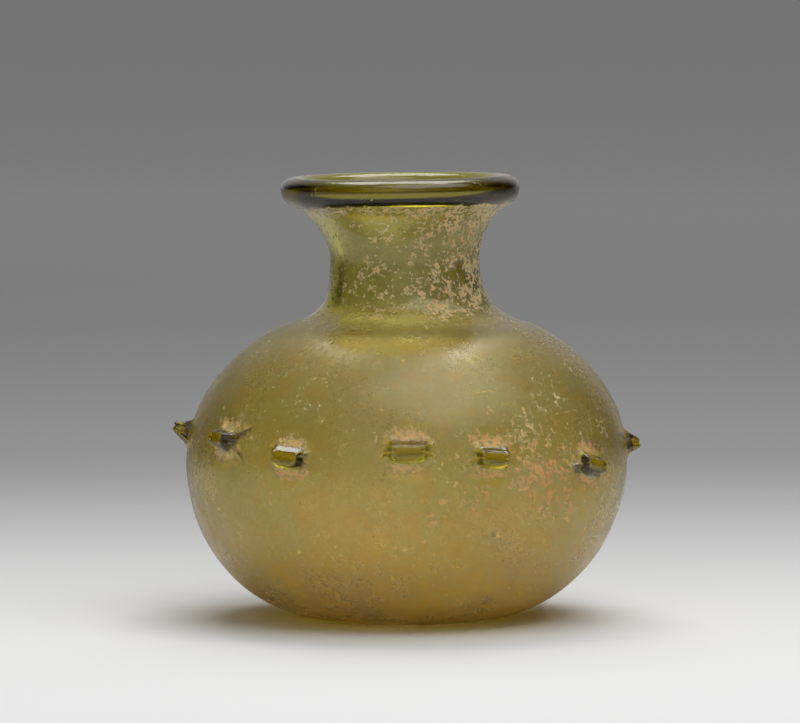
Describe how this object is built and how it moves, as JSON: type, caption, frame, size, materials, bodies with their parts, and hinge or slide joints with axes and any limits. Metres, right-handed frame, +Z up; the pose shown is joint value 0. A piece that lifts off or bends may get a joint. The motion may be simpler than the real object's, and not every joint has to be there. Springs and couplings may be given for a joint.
{
  "type": "glass jar",
  "caption": "Small free-blown olive glass jar with a squat round belly, pinched nibs round it, a narrow waisted neck and a thick rolled rim.",
  "frame": {"origin": "middle of the foot ring's resting plane, under the centre of the jar's box", "axes": "+Z up along the jar's axis, -Y towards the viewer of the picture, +X to the viewer's right"},
  "size_m": [0.0948, 0.0945, 0.0903],
  "materials": {
    "weathered_glass": "olive glass under a thin dull weathering film, finely pitted, cloudy to matt",
    "clear_glass": "clear dark olive glass, fire-polished and glossy, with pinprick bubbles",
    "scar_glass": "broken olive glass, sharp-edged and glossy where it cracked off"
  },
  "bodies": {
    "root": {"body": "weathered_glass", "neck": "weathered_glass", "rim": "clear_glass", "pontil_scar": "scar_glass", "nib_01": "clear_glass", "nib_02": "clear_glass", "nib_03": "clear_glass", "nib_04": "clear_glass", "nib_05": "clear_glass", "nib_06": "clear_glass", "nib_07": "clear_glass", "nib_08": "clear_glass", "nib_09": "clear_glass", "nib_10": "clear_glass", "nib_11": "clear_glass", "nib_12": "clear_glass"}
  },
  "joints": []
}
